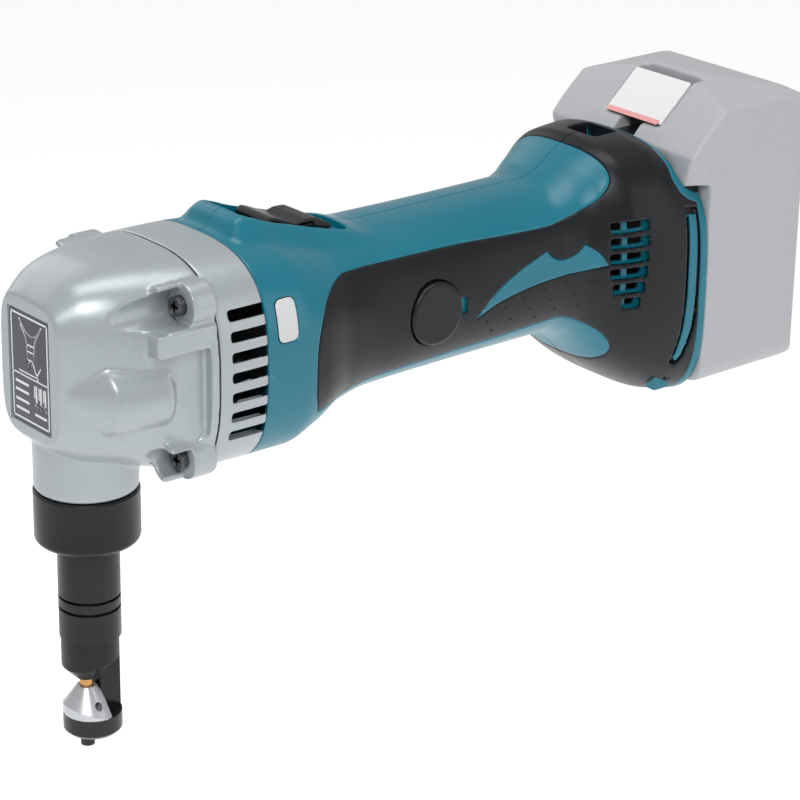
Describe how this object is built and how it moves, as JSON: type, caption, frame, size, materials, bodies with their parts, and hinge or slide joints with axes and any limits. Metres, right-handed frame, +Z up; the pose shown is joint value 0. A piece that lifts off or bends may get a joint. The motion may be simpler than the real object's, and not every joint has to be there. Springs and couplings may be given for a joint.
{
  "type": "cordless nibbler",
  "caption": "In-line cordless sheet metal nibbler: right-angle cast head with punch and die nose, slim overmoulded grip and slide-on battery pack.",
  "frame": {"origin": "on the die holder's axis, inside its plain neck between the lock nut and the first gauge groove", "axes": "+X from the cutting head along the tool to the battery pack, +Z up, away from the die, -Y is the tool's left side"},
  "size_m": [0.312, 0.0764, 0.1883],
  "materials": {
    "cast_silver": "satin painted casting",
    "plastic_teal": "fine textured moulding",
    "overmould_black": "soft matt overmould",
    "pale_insert": "satin",
    "plate_slate": "printed plate",
    "black_oxide": "black oxide",
    "die_steel": "ground tool steel",
    "punch_gold": "titanium nitride coated",
    "screw_black": "black zinc",
    "steel": "machined",
    "bronze": "sintered bronze",
    "seal_rubber": "matt",
    "copper": "enamelled copper",
    "magnet": "ferrite",
    "carbon": "carbon",
    "plastic_black": "moulded",
    "plastic_natural": "moulded nylon",
    "lead_wire": "PVC",
    "board_green": "coated board",
    "pack_grey": "fine textured moulding",
    "button_white": "satin",
    "cell_wrap": "shrink sleeve"
  },
  "bodies": {
    "housing": {"gear_housing": "cast_silver", "front_plate": "plate_slate", "plunger_bush": "bronze", "plunger_seal": "seal_rubber", "crank_bearing": "steel", "ring_gear": "steel", "motor_bearings": "steel", "bearing_plate": "cast_silver", "motor_can": "steel", "field_magnets": "magnet", "fan_baffle": "plastic_black", "carbon_brushes": "carbon", "brush_springs": "steel", "brush_bracket": "plastic_black", "vent_ring": "cast_silver", "housing_left": "plastic_teal", "housing_right": "plastic_teal", "grip_left": "overmould_black", "grip_right": "overmould_black", "side_inserts": "pale_insert", "head_screws": "screw_black", "housing_screws": "screw_black", "brush_caps": "plastic_black", "switch_unit": "plastic_black", "rail_plate": "plastic_black", "terminal_block": "copper", "side_bumpers": "plastic_teal", "control_board": "board_green", "leads": "lead_wire"},
    "armature": {"armature_shaft": "steel", "laminations": "steel", "windings": "copper", "commutator": "copper", "cooling_fan": "plastic_natural"},
    "crank": {"crankshaft": "steel"},
    "planet_1": {"planet_gear_1": "steel"},
    "planet_2": {"planet_gear_2": "steel"},
    "planet_3": {"planet_gear_3": "steel"},
    "plunger": {"plunger": "steel", "wrist_pin": "steel"},
    "rod": {"connecting_rod": "steel", "rod_needle_bearing": "steel", "crank_pin": "steel"},
    "holder": {"die_holder": "black_oxide", "die": "die_steel", "die_bolt": "black_oxide"},
    "punch": {"punch": "punch_gold"},
    "nut": {"lock_nut": "black_oxide"},
    "slider": {"switch_slider": "plastic_black", "switch_link": "plastic_natural"},
    "lever": {"switch_lever": "plastic_black"},
    "pack": {"pack_front_case": "pack_grey", "pack_rear_case": "pack_grey", "cells": "cell_wrap", "cell_straps": "steel", "pack_board": "board_green", "button_spring": "steel"},
    "button": {"pack_button": "button_white", "latch_tooth": "plastic_black"}
  },
  "joints": [
    {"name": "armature_spin", "type": "hinge", "parent": "housing", "child": "armature", "pos_m": [0.08, 0, 0.072], "axis": [1, 0, 0], "continuous": true},
    {"name": "crank_spin", "type": "hinge", "parent": "housing", "child": "crank", "pos_m": [0.01, 0, 0.072], "axis": [1, 0, 0], "continuous": true},
    {"name": "planet_1_spin", "type": "hinge", "parent": "crank", "child": "planet_1", "pos_m": [0.0215, 0, 0.0828], "axis": [1, 0, 0], "continuous": true},
    {"name": "planet_2_spin", "type": "hinge", "parent": "crank", "child": "planet_2", "pos_m": [0.0215, -0.00935, 0.0666], "axis": [1, 0, 0], "continuous": true},
    {"name": "planet_3_spin", "type": "hinge", "parent": "crank", "child": "planet_3", "pos_m": [0.0215, 0.00935, 0.0666], "axis": [1, 0, 0], "continuous": true},
    {"name": "plunger_stroke", "type": "slide", "parent": "housing", "child": "plunger", "axis": [0, 0, 1], "range_m": [0, 0.006]},
    {"name": "rod_swing", "type": "hinge", "parent": "plunger", "child": "rod", "pos_m": [0, 0, 0.042], "axis": [1, 0, 0], "range_deg": [-6.4, 6.4]},
    {"name": "holder_turn", "type": "hinge", "parent": "housing", "child": "holder", "pos_m": [0, 0, 0], "axis": [0, 0, 1], "continuous": true},
    {"name": "punch_stroke", "type": "slide", "parent": "holder", "child": "punch", "axis": [0, 0, 1], "range_m": [0, 0.006]},
    {"name": "nut_turn", "type": "hinge", "parent": "housing", "child": "nut", "pos_m": [0, 0, 0.023], "axis": [0, 0, 1], "continuous": true},
    {"name": "switch_slide", "type": "slide", "parent": "housing", "child": "slider", "axis": [-1, 0, 0], "range_m": [0, 0.008]},
    {"name": "switch_rock", "type": "hinge", "parent": "slider", "child": "lever", "pos_m": [0.082, 0, 0.1036], "axis": [0, 1, 0], "range_deg": [-4, 0]},
    {"name": "pack_slide", "type": "slide", "parent": "housing", "child": "pack", "axis": [0, 0, 1], "range_m": [0, 0.085]},
    {"name": "button_press", "type": "slide", "parent": "pack", "child": "button", "axis": [1, 0, 0], "range_m": [0, 0.004], "stiffness_N_per_m": 900, "springref_m": -0.002}
  ],
  "couplings": [
    {"joint": "crank_spin", "follows": "armature_spin", "ratio": 0.16667},
    {"joint": "planet_1_spin", "follows": "armature_spin", "ratio": -0.41667},
    {"joint": "planet_2_spin", "follows": "armature_spin", "ratio": -0.41667},
    {"joint": "planet_3_spin", "follows": "armature_spin", "ratio": -0.41667},
    {"joint": "punch_stroke", "follows": "plunger_stroke", "ratio": 1}
  ]
}
